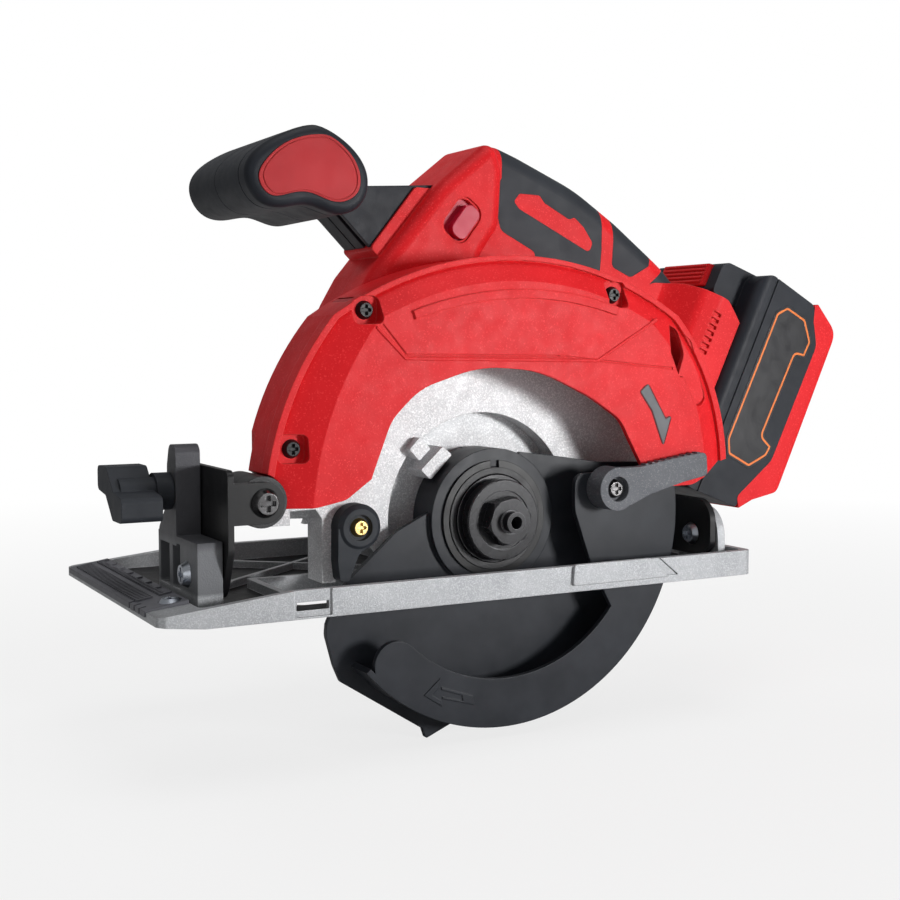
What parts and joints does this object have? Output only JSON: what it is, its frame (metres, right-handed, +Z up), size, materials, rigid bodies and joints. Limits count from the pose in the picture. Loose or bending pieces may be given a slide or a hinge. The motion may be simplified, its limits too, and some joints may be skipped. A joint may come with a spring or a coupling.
{
  "type": "circular saw",
  "caption": "Cordless hand-held circular saw with tilting cast shoe, swinging lower blade guard, looped rear handle, bar front handle and slide-on battery.",
  "frame": {"origin": "on the arbor axis, at the blade's middle plane", "axes": "+X towards the battery end, -Y out of the blade side along the arbor, +Z up"},
  "size_m": [0.3531, 0.1385, 0.2542],
  "materials": {
    "cast_aluminium": "cast, satin, fine grain",
    "red_plastic": "fine texture",
    "dark_rubber": "matt",
    "dark_plastic": "fine texture",
    "black_plastic": "satin",
    "black_steel": "satin black",
    "steel": "bright zinc",
    "cell_wrap": "satin sleeve",
    "dark_steel": "dark oxide",
    "brass": "satin",
    "board_green": "smooth"
  },
  "bodies": {
    "shoe": {"shoe": "cast_aluminium", "scale_insert": "dark_plastic", "insert_screw": "steel", "bevel_pivot_screws": "steel", "bevel_bolt": "steel"},
    "bevel_knob": {"bevel_knob": "dark_plastic"},
    "tilt_frame": {"front_tilt_bracket": "black_steel", "rear_tilt_bracket": "steel", "depth_guide": "steel"},
    "saw_body": {"blade_case": "cast_aluminium", "upper_guard": "red_plastic", "upper_guard_screws": "black_steel", "depth_pivot_screw": "steel", "depth_bolt": "black_steel", "guard_return_spring": "steel", "guard_retaining_ring": "black_steel", "guard_stop": "dark_rubber", "guard_stop_screw": "brass", "spindle_bearing": "steel", "spindle_bush": "brass", "gear_cover": "cast_aluminium", "gear_cover_screws": "black_steel", "motor_housing": "dark_plastic", "motor_end_cap": "dark_plastic", "motor_front_bearing": "steel", "motor_rear_bearing": "steel", "stator": "dark_steel", "left_housing": "red_plastic", "right_housing": "red_plastic", "housing_screws": "black_steel", "handle_overmould": "dark_rubber", "front_handle": "dark_plastic", "front_handle_inlay": "red_plastic", "switch_body": "dark_plastic", "trigger_spring": "steel", "controller_board": "board_green", "terminal_block": "dark_plastic"},
    "lower_guard": {"lower_guard": "black_plastic", "guard_lever": "dark_plastic", "guard_lever_screw": "steel"},
    "spindle": {"spindle": "dark_steel", "spindle_gear": "dark_steel", "inner_flange": "dark_steel"},
    "rotor": {"rotor_shaft": "dark_steel", "rotor_core": "dark_steel", "fan": "dark_plastic"},
    "clamp_set": {"outer_flange": "dark_steel", "blade_nut": "dark_steel"},
    "depth_lever": {"depth_lever": "dark_plastic"},
    "spindle_lock": {"spindle_lock_button": "dark_plastic"},
    "trigger": {"trigger": "dark_plastic"},
    "lock_off_button": {"lock_off_button": "red_plastic"},
    "battery": {"battery_shell": "dark_plastic", "battery_cover": "red_plastic", "battery_cells": "cell_wrap", "battery_terminals": "brass"},
    "battery_button": {"battery_button": "red_plastic"}
  },
  "joints": [
    {"name": "bevel_knob_turn", "type": "hinge", "parent": "shoe", "child": "bevel_knob", "pos_m": [-0.15, 0.021, 0.017], "axis": [1, 0, 0], "range_deg": [-45, 45]},
    {"name": "bevel_tilt", "type": "hinge", "parent": "shoe", "child": "tilt_frame", "pos_m": [0, 0.001, -0.0133], "axis": [1, 0, 0], "range_deg": [0, 45]},
    {"name": "depth_swing", "type": "hinge", "parent": "tilt_frame", "child": "saw_body", "pos_m": [-0.1115, 0, 0.0144], "axis": [0, -1, 0], "range_deg": [0, 25]},
    {"name": "lower_guard_swing", "type": "hinge", "parent": "saw_body", "child": "lower_guard", "pos_m": [0, 0, 0], "axis": [0, -1, 0], "range_deg": [0, 120], "stiffness_Nm_per_rad": 0.06, "springref_deg": -68.75},
    {"name": "spindle_spin", "type": "hinge", "parent": "saw_body", "child": "spindle", "pos_m": [0, 0, 0], "axis": [0, 1, 0], "continuous": true},
    {"name": "rotor_spin", "type": "hinge", "parent": "saw_body", "child": "rotor", "pos_m": [-0.01184, 0, 0.02427], "axis": [0, 1, 0], "continuous": true},
    {"name": "clamp_set_slide", "type": "slide", "parent": "spindle", "child": "clamp_set", "axis": [0, -1, 0], "range_m": [0, 0.05]},
    {"name": "depth_lever_turn", "type": "hinge", "parent": "saw_body", "child": "depth_lever", "pos_m": [0.07239, 0.025, 0.008], "axis": [0, 1, 0], "range_deg": [0, 45]},
    {"name": "spindle_lock_press", "type": "slide", "parent": "saw_body", "child": "spindle_lock", "axis": [-0.866, 0, 0.5], "range_m": [0, 0.002], "stiffness_N_per_m": 600, "springref_m": -0.001},
    {"name": "trigger_pull", "type": "slide", "parent": "saw_body", "child": "trigger", "axis": [0.5101, 0, 0.8601], "range_m": [0, 0.006], "stiffness_N_per_m": 500, "springref_m": -0.002},
    {"name": "lock_off_press", "type": "slide", "parent": "saw_body", "child": "lock_off_button", "axis": [0, 1, 0], "range_m": [0, 0.003], "stiffness_N_per_m": 400, "springref_m": -0.001},
    {"name": "battery_slide", "type": "slide", "parent": "saw_body", "child": "battery", "axis": [0.4305, 0, 0.9026], "range_m": [0, 0.09]},
    {"name": "battery_button_press", "type": "slide", "parent": "battery", "child": "battery_button", "axis": [0.9026, 0, -0.4305], "range_m": [0, 0.003], "stiffness_N_per_m": 500, "springref_m": -0.001}
  ],
  "couplings": [
    {"joint": "rotor_spin", "follows": "spindle_spin", "ratio": -4.4}
  ]
}
